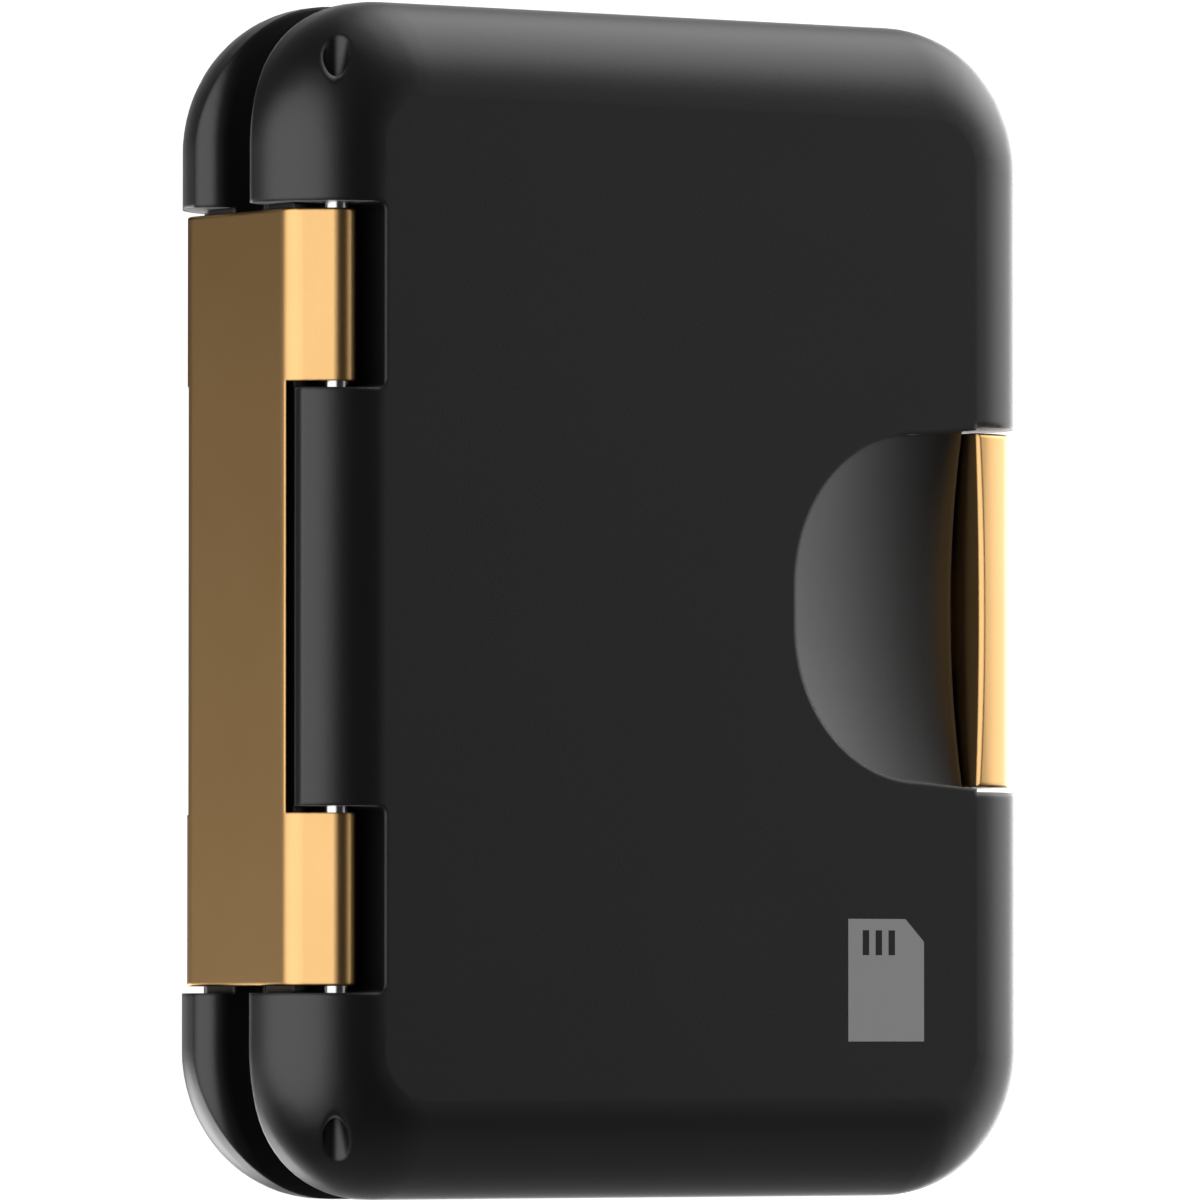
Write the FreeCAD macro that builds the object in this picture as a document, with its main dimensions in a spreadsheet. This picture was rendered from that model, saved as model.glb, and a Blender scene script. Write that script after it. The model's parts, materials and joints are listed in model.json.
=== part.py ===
"""Two-shell pocket case for memory cards: hinged brass spine, sprung side latch, elastomer card trays.

The case lies on its rear shell.  X runs from the hinge side to the latch side, Y along the length and
Z through the thickness.  The origin is the middle of the rear face.  Millimetres.
"""
import FreeCAD, Part
import math
import os

Vector = FreeCAD.Vector
Placement = FreeCAD.Placement
Rotation = FreeCAD.Rotation

doc = FreeCAD.newDocument("card_case")

# ---------------------------------------------------------------------------------------------
# driving dimensions
# ---------------------------------------------------------------------------------------------
DIMENSIONS = {
    # outer form of the closed case
    "case_length": 104.0,
    "case_width": 80.0,
    "case_depth": 25.2,
    "corner_round": 13.0,
    "face_round": 8.6,
    "seam_gap": 0.4,
    "seam_round": 2.4,
    "recess_half": 2.6,
    "recess_depth": 6.0,
    "recess_fade": 6.5,
    # shell inside
    "face_wall": 2.4,
    "cavity_hinge_wall": 10.4,
    "cavity_latch_wall": 12.0,
    "cavity_end_wall": 5.2,
    "cavity_round": 5.0,
    # hinge
    "pin_inset": 5.5,
    "pin_depth": 3.1,
    "pin_radius": 1.1,
    "pin_start": 12.4,
    "pin_end": 38.6,
    "pin_seat_play": 0.02,
    "pin_run_play": 0.04,
    "access_radius": 1.2,
    "ear_start": 18.6,
    "ear_end": 33.5,
    "ear_play": 0.6,
    "barrel_radius": 1.7,
    "ear_slope": 50.0,
    "ear_wall": 1.2,
    "plate_inset": 1.35,
    "plate_wall": 1.1,
    "plate_gap": 0.4,
    "spine_round": 2.7,
    "spine_relief": 4.37,
    "knuckle_radius": 3.56,
    "middle_trim": 3.8,
    "ear_pocket_depth": 2.6,
    "pocket_round": 0.8,
    "spine_end_round": 0.25,
    "middle_round": 0.5,
    # latch
    "latch_half": 15.7,
    "latch_play": 0.5,
    "latch_wall": 2.0,
    "latch_block_base": 3.0,
    "latch_pin_inset": 4.8,
    "latch_pin_depth": 3.6,
    "latch_pin_radius": 0.8,
    "latch_pin_half": 20.5,
    "latch_knuckle": 2.0,
    "latch_end_round": 0.4,
    "notch_round": 0.4,
    "spring_room": 2.6,
    "spring_coil": 1.3,
    "spring_wire": 0.4,
    "spring_touch": 0.03,
    "spring_knee": 4.4,
    "spring_tip": 11.1,
    "latch_notch_floor": 7.2,
    "spring_half": 3.2,
    "latch_bow": 0.45,
    "latch_dish": 0.3,
    "latch_dish_half": 13.0,
    "latch_dish_reach": 6.0,
    "nose_radius": 1.3,
    "nose_height": 5.0,
    "nose_centre": 31.4,
    "nose_play": 0.3,
    "swing_relief": 0.7,
    "swing_relief_height": 3.6,
    # catch leaf
    "leaf_depth": 0.9,
    "leaf_wall": 0.3,
    "leaf_half": 5.0,
    "leaf_base": 0.8,
    "leaf_top": 6.6,
    "leaf_play": 0.3,
    "leaf_screw_rise": 2.0,
    "leaf_screw_offset": 3.0,
    "leaf_screw_radius": 0.6,
    "leaf_screw_length": 1.6,
    "leaf_screw_head_radius": 1.1,
    "leaf_screw_head_height": 0.6,
    "leaf_screw_slot": 0.3,
    # thumb scoop
    "scoop_reach": 19.6,
    "scoop_half": 15.4,
    "scoop_depth": 4.0,
    "scoop_corner": 13.5,
    "scoop_dish_reach": 20.2,
    "scoop_flare": 15.9,
    "scoop_flare_start": 6.0,
    "scoop_cross_radius": 72.0,
    "scoop_wall": 1.6,
    "scoop_margin": 1.5,
    # seal
    "seal_width": 1.4,
    "seal_depth": 1.3,
    "seal_proud": 0.2,
    "seal_play": 0.02,
    "seal_hinge_side": 31.6,
    "seal_latch_side": 29.7,
    "seal_end": 48.6,
    "seal_round": 8.8,
    # trays
    "tray_play": 0.3,
    "tray_corner": 4.7,
    "tray_height": 8.6,
    "well_depth": 2.4,
    "well_corner": 0.8,
    "well_width": 24.4,
    "well_length": 32.4,
    "well_offset": 13.6,
    "well_row_upper": 21.0,
    "well_row_lower": -19.8,
    "finger_radius": 6.0,
    "finger_extra": 0.8,
    "micro_depth": 1.2,
    "micro_width": 11.4,
    "micro_length": 15.4,
    "micro_offset": 6.8,
    "micro_row_upper": -11.0,
    "micro_row_lower": -30.0,
    "micro_finger_radius": 3.2,
    "boss_radius": 2.5,
    "boss_height": 5.0,
    "screw_offset": 20.0,
    "screw_row": 42.0,
    "screw_radius": 1.0,
    "screw_slot": 0.5,
    "screw_play": 0.15,
    "screw_head_play": 0.2,
    "screw_head_sink": 0.2,
    "screw_head_radius": 1.9,
    "screw_head_height": 1.2,
    "insert_radius": 1.6,
    "insert_length": 4.0,
}

sheet = doc.addObject("Spreadsheet::Sheet", "Sheet")
for row, (alias, value) in enumerate(DIMENSIONS.items(), start=1):
    sheet.set("A%d" % row, alias)
    sheet.set("B%d" % row, str(value))
    sheet.setAlias("B%d" % row, alias)
doc.recompute()


def dim(alias):
    """The value of one driving dimension."""
    return float(sheet.get(alias))


LENGTH = dim("case_length")
WIDTH = dim("case_width")
DEPTH = dim("case_depth")
HALF_LENGTH = LENGTH / 2
HALF_WIDTH = WIDTH / 2
MIDDLE = DEPTH / 2
HALF_GAP = dim("seam_gap") / 2
FACE_ROUND = dim("face_round")
PIN_X = -HALF_WIDTH + dim("pin_inset")
PIN_RISE = MIDDLE - dim("pin_depth")
EAR_START = dim("ear_start")
EAR_END = dim("ear_end")
EAR_PLAY = dim("ear_play")
NOTCH_X = HALF_WIDTH - FACE_ROUND
LATCH_HALF = dim("latch_half")
LATCH_PLAY = dim("latch_play")
LATCH_PIN_X = HALF_WIDTH - dim("latch_pin_inset")
LATCH_PIN_Z = dim("latch_pin_depth")
FLOOR = dim("face_wall")
CAVITY_LEFT = -HALF_WIDTH + dim("cavity_hinge_wall")
CAVITY_RIGHT = HALF_WIDTH - dim("cavity_latch_wall")
CAVITY_END = HALF_LENGTH - dim("cavity_end_wall")
TRAY_PLAY = dim("tray_play")
TRAY_TOP = FLOOR + dim("tray_height")
SCREW_SINK = dim("screw_head_sink")
SCREW_X = [(CAVITY_LEFT + CAVITY_RIGHT) / 2 + turn * dim("screw_offset") for turn in (-1, 1)]
SCREWS = [(x, turn * dim("screw_row")) for x in SCREW_X for turn in (-1, 1)]
WELL_MIDDLE = (CAVITY_LEFT + CAVITY_RIGHT) / 2
LEAF_BACK = NOTCH_X - dim("leaf_depth")
LEAF_WALL = dim("leaf_wall")
LEAF_HALF = dim("leaf_half")
LEAF_TOP = dim("leaf_top")
LEAF_SCREW_RISE = dim("leaf_screw_rise")
LEAF_SCREW_Y = (-dim("leaf_screw_offset"), dim("leaf_screw_offset"))
LEAF_SCREW_LENGTH = dim("leaf_screw_length")
SPRING_HALF = dim("spring_half")
SCOOP_PAN_X = NOTCH_X - dim("scoop_reach") + dim("scoop_margin")
OVER = 1.0
NEAR = 0.1
SCOOP_SWEEP = 60
SPRING_TURNS = 6.25

FRONT = 1
REAR = -1


# ---------------------------------------------------------------------------------------------
# helpers
# ---------------------------------------------------------------------------------------------
def level(side, rise):
    """Height above the rear face of a plane that lies `rise` from the seam in the given shell."""
    return MIDDLE + side * rise


def body_named(name):
    body = doc.addObject("PartDesign::Body", name)
    body.Label = name
    body.Placement = Placement()
    return body


def plane(body, role):
    for feature in body.Origin.OriginFeatures:
        if feature.Role == role:
            return feature
    raise ValueError(role)


def attach(feature, body, role, x=0.0, y=0.0, z=0.0, rotation=None):
    """Fix a sketch or primitive to an origin plane; x, y and z are along that plane's own axes."""
    feature.AttachmentSupport = [(plane(body, role), "")]
    feature.MapMode = "FlatFace"
    feature.AttachmentOffset = Placement(Vector(x, y, z), rotation or Rotation())


def bind(feature, **expressions):
    for name, expression in expressions.items():
        feature.setExpression(name, expression)


def box(body, name, x, y, z, cut=True):
    """A block from x[0] to x[1], y[0] to y[1] and z[0] to z[1]."""
    kind = "PartDesign::SubtractiveBox" if cut else "PartDesign::AdditiveBox"
    feature = body.newObject(kind, name)
    attach(feature, body, "XY_Plane", min(x), min(y), min(z))
    feature.Length = max(x) - min(x)
    feature.Width = max(y) - min(y)
    feature.Height = max(z) - min(z)
    return finish_cut(body, feature, cut)


def rod_y(body, name, x, z, radius, y, cut=True):
    """A cylinder along Y from y[0] to y[1]; radius is an expression on the sheet."""
    kind = "PartDesign::SubtractiveCylinder" if cut else "PartDesign::AdditiveCylinder"
    feature = body.newObject(kind, name)
    attach(feature, body, "XZ_Plane", x, z, -max(y))
    feature.Height = max(y) - min(y)
    bind(feature, Radius=radius)
    return finish_cut(body, feature, cut)


def rod_z(body, name, x, y, radius, z, cut=True):
    """A cylinder along Z from z[0] to z[1]; radius is an expression on the sheet."""
    kind = "PartDesign::SubtractiveCylinder" if cut else "PartDesign::AdditiveCylinder"
    feature = body.newObject(kind, name)
    attach(feature, body, "XY_Plane", x, y, min(z))
    feature.Height = max(z) - min(z)
    bind(feature, Radius=radius)
    return finish_cut(body, feature, cut)


def bore_x(body, name, y, z, radius, x):
    """A round hole along X from x[0] to x[1]; radius is an expression on the sheet."""
    feature = body.newObject("PartDesign::SubtractiveCylinder", name)
    attach(feature, body, "YZ_Plane", y, z, min(x))
    feature.Height = max(x) - min(x)
    bind(feature, Radius=radius)
    return finish_cut(body, feature, cut=True)


def finish_cut(body, feature, cut):
    """Recompute and make sure that the feature took material away or added it."""
    before = body_volume_before(body, feature)
    doc.recompute()
    body.Tip = feature
    after = feature.Shape.Volume
    changed = before - after if cut else after - before
    if before and changed <= 0:
        raise RuntimeError("%s of %s changes nothing" % (feature.Name, body.Name))
    return feature


def body_volume_before(body, feature):
    base = feature.BaseFeature
    return base.Shape.Volume if base is not None else 0.0


def rounded(points):
    """Turn corner points (x, y, radius) into a closed list of line and arc geometry."""
    ends = []
    count = len(points)
    for i, (x, y, radius) in enumerate(points):
        here = Vector(x, y, 0)
        to_last = Vector(points[i - 1][0], points[i - 1][1], 0) - here
        to_next = Vector(points[(i + 1) % count][0], points[(i + 1) % count][1], 0) - here
        to_last.normalize()
        to_next.normalize()
        if not radius:
            ends.append((here, None, here))
            continue
        half = to_last.getAngle(to_next) / 2
        reach = radius / math.tan(half)
        inward = (to_last + to_next).normalize()
        centre = here + inward * (radius / math.sin(half))
        ends.append((here + to_last * reach, centre - inward * radius, here + to_next * reach))
    shapes = []
    for i, (start, middle, end) in enumerate(ends):
        if middle is not None:
            shapes.append(Part.Arc(start, middle, end))
        following = ends[(i + 1) % count][0]
        if (following - end).Length > 1e-6:
            shapes.append(Part.LineSegment(end, following))
    return shapes


def sketch_on(body, name, role, shapes, offset=0.0):
    sketch = body.newObject("Sketcher::SketchObject", name)
    attach(sketch, body, role, z=offset)
    for shape in shapes:
        sketch.addGeometry(shape, False)
    doc.recompute()
    return sketch


def rectangle(x, y, radius):
    x_low, x_high = min(x), max(x)
    y_low, y_high = min(y), max(y)
    corners = ((x_low, y_low), (x_high, y_low), (x_high, y_high), (x_low, y_high))
    return rounded([(x, y, radius) for x, y in corners])


def pad(body, sketch, length, reverse=False, both_ways=False):
    feature = body.newObject("PartDesign::Pad", sketch.Name + "Pad")
    feature.Profile = sketch
    feature.Length = length
    feature.Reversed = reverse
    if both_ways:
        feature.SideType = "Symmetric"
    return finish_cut(body, feature, cut=False)


def pocket(body, sketch, length, reverse=False, both_ways=False):
    feature = body.newObject("PartDesign::Pocket", sketch.Name + "Pocket")
    feature.Profile = sketch
    feature.Length = length
    feature.Reversed = reverse
    if both_ways:
        feature.SideType = "Symmetric"
    return finish_cut(body, feature, cut=True)


def fillet(body, name, radius, choose):
    """Round the edges that `choose` picks; radius is an expression on the sheet."""
    base = body.Tip
    edges = ["Edge%d" % (i + 1) for i, edge in enumerate(base.Shape.Edges) if choose(edge)]
    if not edges:
        raise RuntimeError("no edges for " + name)
    feature = body.newObject("PartDesign::Fillet", name)
    feature.Base = (base, edges)
    bind(feature, Radius=radius)
    doc.recompute()
    body.Tip = feature
    if "Invalid" in feature.State or not feature.Shape.isValid():
        raise RuntimeError("fillet %s failed" % name)
    return feature


def within(edge, x=None, y=None, z=None):
    """True where the whole edge lies inside the given ranges."""
    limits = edge.BoundBox
    slack = 1e-3
    for span, low, high in ((x, limits.XMin, limits.XMax), (y, limits.YMin, limits.YMax),
                            (z, limits.ZMin, limits.ZMax)):
        if span and (low < min(span) - slack or high > max(span) + slack):
            return False
    return True


# ---------------------------------------------------------------------------------------------
# shells
# ---------------------------------------------------------------------------------------------
def shell_blank(body, side):
    """Outer form: a slab with rounded corners, its face edge rounded all the way."""
    seam = level(side, HALF_GAP)
    outline = rectangle((-HALF_WIDTH, HALF_WIDTH), (-HALF_LENGTH, HALF_LENGTH), dim("corner_round"))
    sketch = sketch_on(body, body.Name + "Outline", "XY_Plane", outline, seam)
    slab = pad(body, sketch, MIDDLE - HALF_GAP, reverse=(side == REAR))
    bind(slab, Length="Sheet.case_depth / 2 - Sheet.seam_gap / 2")
    doc.recompute()
    face = level(side, MIDDLE)
    fillet(body, body.Name + "FaceRound", "Sheet.face_round", lambda e: within(e, z=(face, face)))


def recess_profile(side):
    """Section of the recess: a rounded lip on the outside, then a level shelf down to its inner end."""
    radius = dim("seam_round")
    shelf = level(side, dim("recess_half"))
    lip = level(side, dim("recess_half") + radius)
    out = -HALF_WIDTH - OVER
    inner = -HALF_WIDTH + dim("recess_depth")
    centre = Vector(-HALF_WIDTH + radius, lip, 0)
    bulge = centre - Vector(1, side, 0).normalize() * radius
    corners = [
        Vector(-HALF_WIDTH, lip, 0),
        Vector(out, lip, 0),
        Vector(out, MIDDLE, 0),
        Vector(inner, MIDDLE, 0),
        Vector(inner, shelf, 0),
        Vector(centre.x, shelf, 0),
    ]
    lines = [Part.LineSegment(a, b) for a, b in zip(corners, corners[1:])]
    return lines + [Part.Arc(corners[-1], bulge, corners[0])]


def seam_recess(body, side):
    """Deep recess between the shells along the hinge side, fading out round both corners."""
    straight = HALF_LENGTH - dim("corner_round")
    sketch = sketch_on(body, body.Name + "Recess", "XZ_Plane", recess_profile(side))
    pocket(body, sketch, 2 * straight, both_ways=True)
    axis_x = -HALF_WIDTH + dim("corner_round") + dim("recess_fade")
    for name, sign in (("Upper", 1), ("Lower", -1)):
        profile = recess_profile(side)
        sketch = sketch_on(body, body.Name + "Recess" + name, "XZ_Plane", profile, -sign * straight)
        sketch.addGeometry(Part.LineSegment(Vector(axis_x, 0, 0), Vector(axis_x, DEPTH, 0)), True)
        turn = body.newObject("PartDesign::Groove", sketch.Name + "Turn")
        turn.Profile = sketch
        turn.ReferenceAxis = (sketch, ["Axis0"])
        turn.Angle = 90
        turn.Reversed = sign > 0
        finish_cut(body, turn, cut=True)


def cavity(body, side):
    outline = rectangle((CAVITY_LEFT, CAVITY_RIGHT), (-CAVITY_END, CAVITY_END), dim("cavity_round"))
    sketch = sketch_on(body, body.Name + "Cavity", "XY_Plane", outline, level(side, HALF_GAP))
    pocket(body, sketch, MIDDLE - HALF_GAP - FLOOR, reverse=(side == FRONT))


def hinge_clearance(body, side):
    """Room behind the spine's plate, and a pocket for each of its two ears on this side.

    The part of the rear shell between its pockets is cut back so that the plate covers it.
    """
    out = -HALF_WIDTH - OVER
    top = level(side, MIDDLE + OVER)
    reach = EAR_END + EAR_PLAY
    inner = EAR_START - EAR_PLAY
    sketch = sketch_on(body, body.Name + "PlateRoom", "XZ_Plane", plate_room(side, out, top))
    pocket(body, sketch, 2 * reach, both_ways=True)
    floor = level(side, PIN_RISE - dim("ear_pocket_depth"))
    pocket_x = -HALF_WIDTH + FACE_ROUND
    for name, y in (("Upper", (inner, reach)), ("Lower", (-reach, -inner))):
        box(body, body.Name + "EarPocket" + name, (out, pocket_x), y, (floor, top))
    fillet(body, body.Name + "PocketCorners", "Sheet.pocket_round",
           lambda e: within(e, x=(pocket_x, pocket_x)) and e.BoundBox.YLength < OVER)
    edge_x = PIN_X - dim("knuckle_radius")
    if side == REAR:
        edge_x = -HALF_WIDTH + dim("middle_trim")
        box(body, "MiddleTrim", (out, edge_x), (-inner, inner), (top, MIDDLE))
    fillet(body, body.Name + "MiddleEdge", "Sheet.middle_round",
           lambda e: within(e, x=(edge_x, edge_x + NEAR), y=(-inner, inner)) and is_long(e)
           and abs(e.BoundBox.ZMin - MIDDLE) > PIN_RISE - OVER)


def plate_room(side, out, top):
    """Section of the space left for the plate: a flat wall, then a round about the hinge pin."""
    radius = dim("knuckle_radius")
    pin = Vector(PIN_X, level(side, PIN_RISE), 0)
    wall = -HALF_WIDTH + dim("plate_inset") + dim("plate_wall") + dim("plate_gap")
    start = Vector(wall, pin.y - side * math.sqrt(radius ** 2 - (pin.x - wall) ** 2), 0)
    end = pin - Vector(radius, 0, 0)
    bulge = pin + ((start + end) * 0.5 - pin).normalize() * radius
    corners = [
        end,
        Vector(end.x, top, 0),
        Vector(out, top, 0),
        Vector(out, MIDDLE, 0),
        Vector(wall, MIDDLE, 0),
        start,
    ]
    lines = [Part.LineSegment(a, b) for a, b in zip(corners, corners[1:])]
    return lines + [Part.Arc(start, bulge, end)]


def is_long(edge):
    return edge.BoundBox.YLength > EAR_START


def latch_notch(body, side, x):
    """Opening for the latch lever; its edges on the outside of the shell are rounded."""
    end = LATCH_HALF + LATCH_PLAY
    box(body, body.Name + "Notch", (x, HALF_WIDTH + OVER), (-end, end), (MIDDLE, level(side, MIDDLE + OVER)))
    for name, y in (("Upper", end), ("Lower", -end)):
        fillet(body, body.Name + "NotchEdge" + name, "Sheet.notch_round",
               lambda e: within(e, x=(x, HALF_WIDTH), y=(y, y)) and not within(e, x=(x, x))
               and abs(e.BoundBox.ZMin - MIDDLE) + abs(e.BoundBox.ZMax - MIDDLE) > OVER)


def pin_bores(body, side):
    """Seats for the hinge pins, entered from the rounded corners of the shell."""
    pin_level = level(side, PIN_RISE)
    seat = "Sheet.pin_radius + Sheet.pin_seat_play"
    start = dim("pin_start") - EAR_PLAY
    end = dim("pin_end") + EAR_PLAY
    for name, sign in (("Upper", 1), ("Lower", -1)):
        rod_y(body, body.Name + "PinSeat" + name, PIN_X, pin_level, seat, (sign * start, sign * end))
        rod_y(body, body.Name + "PinAccess" + name, PIN_X, pin_level, "Sheet.access_radius",
              (sign * end, sign * (HALF_LENGTH + OVER)))


def tray_bosses(body, side):
    """Four posts on the inside of the face, each bored for a threaded insert."""
    base = level(side, MIDDLE - FLOOR)
    top = level(side, MIDDLE - FLOOR - dim("boss_height"))
    bottom = level(side, MIDDLE - FLOOR - dim("boss_height") + dim("insert_length"))
    for i, (x, y) in enumerate(SCREWS):
        rod_z(body, "%sBoss%d" % (body.Name, i), x, y, "Sheet.boss_radius", (base, top), cut=False)
    for i, (x, y) in enumerate(SCREWS):
        rod_z(body, "%sInsertSeat%d" % (body.Name, i), x, y, "Sheet.insert_radius", (top, bottom))


def scoop_tool():
    """The volume of the thumb scoop: a block with rounded corners over a gently dished floor."""
    body = body_named("scoop_volume")
    half = dim("scoop_half")
    left = NOTCH_X - dim("scoop_reach")
    right = HALF_WIDTH + OVER
    low = DEPTH - dim("scoop_depth") - OVER
    corner = dim("scoop_corner")
    flare = dim("scoop_flare")
    flare_x = NOTCH_X - dim("scoop_flare_start")
    upper = [(right, flare, 0), (NOTCH_X, flare, 0), (flare_x, half, 0), (left, half, corner)]
    lower = [(x, -y, r) for x, y, r in reversed(upper)]
    pad(body, sketch_on(body, "ScoopOutline", "XY_Plane", rounded(upper + lower), low), DEPTH + OVER - low)
    floor = dim("scoop_depth")
    reach = dim("scoop_dish_reach")
    radius = (reach ** 2 + floor ** 2) / (2 * floor)
    top = DEPTH - floor + radius
    tilt = math.asin(reach / radius)

    def on_floor(turn):
        return Vector(NOTCH_X + radius * math.sin(turn), top - radius * math.cos(turn), 0)

    start = on_floor(-tilt - NEAR)
    middle = on_floor(0)
    end = on_floor(tilt)
    under = low - OVER
    shapes = [
        Part.Arc(start, middle, end),
        Part.LineSegment(end, Vector(end.x, under, 0)),
        Part.LineSegment(Vector(end.x, under, 0), Vector(start.x, under, 0)),
        Part.LineSegment(Vector(start.x, under, 0), start),
    ]
    sketch = sketch_on(body, "ScoopFloor", "XZ_Plane", shapes)
    axis_z = DEPTH - floor + dim("scoop_cross_radius")
    sketch.addGeometry(Part.LineSegment(Vector(0, axis_z, 0), Vector(WIDTH, axis_z, 0)), True)
    dish = body.newObject("PartDesign::Groove", "ScoopDish")
    dish.Profile = sketch
    dish.ReferenceAxis = (sketch, ["Axis0"])
    dish.Angle = SCOOP_SWEEP
    dish.Midplane = True
    finish_cut(body, dish, cut=True)
    return body


def scoop(body):
    """Thumb scoop beside the latch, with a thicker floor under it inside the shell."""
    pan_edge = dim("scoop_half") + dim("scoop_margin")
    pan = level(FRONT, MIDDLE - dim("scoop_depth") - dim("scoop_wall"))
    box(body, "ScoopPan", (SCOOP_PAN_X, CAVITY_RIGHT), (-pan_edge, pan_edge),
        (pan, level(FRONT, MIDDLE - FLOOR)), cut=False)
    cut = body.newObject("PartDesign::Boolean", "Scoop")
    cut.Type = "Cut"
    cut.setObjects([scoop_tool()])
    doc.recompute()
    body.Tip = cut


def catch_seat(body):
    """Shallow seat for the catch leaf in the wall of the latch notch, and its two screw holes."""
    end = LATCH_HALF + LATCH_PLAY
    box(body, "SwingRelief", (NOTCH_X - dim("swing_relief"), NOTCH_X + OVER), (-end, end),
        (MIDDLE, level(FRONT, dim("swing_relief_height"))))
    seat = LEAF_HALF + dim("leaf_play")
    box(body, "CatchSeat", (LEAF_BACK, NOTCH_X + OVER), (-seat, seat),
        (level(FRONT, 0), level(FRONT, LEAF_TOP + dim("leaf_play"))))
    for i, y in enumerate(LEAF_SCREW_Y):
        bore_x(body, "CatchScrewHole%d" % i, y, level(FRONT, LEAF_SCREW_RISE), "Sheet.leaf_screw_radius",
               (LEAF_BACK - LEAF_SCREW_LENGTH, LEAF_BACK + OVER))


def seal_groove(body):
    outline = seal_outline(dim("seal_width") / 2) + seal_outline(-dim("seal_width") / 2)
    sketch = sketch_on(body, "SealGroove", "XY_Plane", outline, level(REAR, HALF_GAP))
    pocket(body, sketch, dim("seal_depth"))


def seal_outline(outward):
    x = (-dim("seal_hinge_side") - outward, dim("seal_latch_side") + outward)
    end = dim("seal_end") + outward
    return rectangle(x, (-end, end), dim("seal_round") + outward)


def front_shell():
    body = body_named("front_shell")
    shell_blank(body, FRONT)
    seam_recess(body, FRONT)
    cavity(body, FRONT)
    hinge_clearance(body, FRONT)
    latch_notch(body, FRONT, NOTCH_X)
    tray_bosses(body, FRONT)
    scoop(body)
    catch_seat(body)
    pin_bores(body, FRONT)
    return body


def rear_shell():
    body = body_named("rear_shell")
    shell_blank(body, REAR)
    seam_recess(body, REAR)
    cavity(body, REAR)
    hinge_clearance(body, REAR)
    latch_notch(body, REAR, HALF_WIDTH - dim("latch_notch_floor"))
    seal_groove(body)
    tray_bosses(body, REAR)
    pin_bores(body, REAR)
    seat = "Sheet.latch_pin_radius + Sheet.pin_seat_play"
    end = dim("latch_pin_half") + LATCH_PLAY
    rod_y(body, "LatchPinSeat", LATCH_PIN_X, LATCH_PIN_Z, seat, (-end, end))
    rod_y(body, "LatchPinAccess", LATCH_PIN_X, LATCH_PIN_Z, seat, (-end, -HALF_LENGTH - OVER))
    return body


# ---------------------------------------------------------------------------------------------
# hinge
# ---------------------------------------------------------------------------------------------
def spine_section():
    """C-shaped section of the spine: flat plate, two sloping arms and a barrel round each pin."""
    slope = math.radians(dim("ear_slope"))
    normal = Vector(-math.cos(slope), math.sin(slope), 0)
    along = Vector(math.sin(slope), math.cos(slope), 0)
    barrel = dim("barrel_radius")
    inner_offset = barrel - dim("ear_wall")
    pin = Vector(PIN_X, PIN_RISE, 0)
    outer_x = -HALF_WIDTH + dim("plate_inset")
    inner_x = outer_x + dim("plate_wall")

    def bend(x, offset):
        return pin.y + (offset - (pin.x - x) * math.cos(slope)) / math.sin(slope)

    outer = rounded_corner(outer_x, bend(outer_x, barrel), dim("spine_round"), along)
    inner_round = dim("spine_round") - dim("plate_wall")
    inner = rounded_corner(inner_x, bend(inner_x, inner_offset), inner_round, along)
    tangent = pin + normal * barrel
    landing = pin + normal * inner_offset - along * math.sqrt(barrel ** 2 - inner_offset ** 2)
    far_side = pin - normal * barrel
    half = [
        Part.Arc(*outer),
        Part.LineSegment(outer[2], tangent),
        Part.Arc(tangent, far_side, landing),
        Part.LineSegment(landing, inner[2]),
        Part.Arc(inner[2], inner[1], inner[0]),
    ]
    section = [placed_curve(curve, 1) for curve in half]
    section += [placed_curve(curve, -1) for curve in half]
    for start in (outer[0], inner[0]):
        foot = Vector(start.x, MIDDLE - start.y, 0)
        section.append(Part.LineSegment(foot, Vector(start.x, MIDDLE + start.y, 0)))
    return section


def rounded_corner(x, y, radius, along):
    """Start, middle and end of the arc from a vertical line at x into a line that runs `along`."""
    corner = Vector(x, y, 0)
    down = Vector(0, -1, 0)
    half = down.getAngle(along) / 2
    reach = radius / math.tan(half)
    inward = (down + along).normalize()
    centre = corner + inward * (radius / math.sin(half))
    return corner + down * reach, centre - inward * radius, corner + along * reach


def placed_curve(curve, side):
    """The same curve measured from the rear face, or its mirror image about the seam."""
    def moved(point):
        return Vector(point.x, MIDDLE + side * point.y, 0)
    if isinstance(curve, Part.LineSegment):
        return Part.LineSegment(moved(curve.StartPoint), moved(curve.EndPoint))
    middle = curve.value((curve.FirstParameter + curve.LastParameter) / 2)
    return Part.Arc(moved(curve.StartPoint), moved(middle), moved(curve.EndPoint))


def hinge_spine():
    body = body_named("hinge_spine")
    sketch = sketch_on(body, "SpineSection", "XZ_Plane", spine_section())
    pad(body, sketch, 2 * EAR_END, both_ways=True)
    for name, side in (("Front", FRONT), ("Rear", REAR)):
        pin_level = level(side, PIN_RISE)
        rod_y(body, "Relief" + name, PIN_X, pin_level, "Sheet.spine_relief", (-EAR_START, EAR_START))
        rod_y(body, "EarBore" + name, PIN_X, pin_level, "Sheet.pin_radius + Sheet.pin_run_play",
              (-EAR_END - OVER, EAR_END + OVER))
    fillet(body, "SpineEnds", "Sheet.spine_end_round",
           lambda e: not e.Closed and (within(e, y=(EAR_END, EAR_END)) or within(e, y=(-EAR_END, -EAR_END))))
    return body


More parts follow.
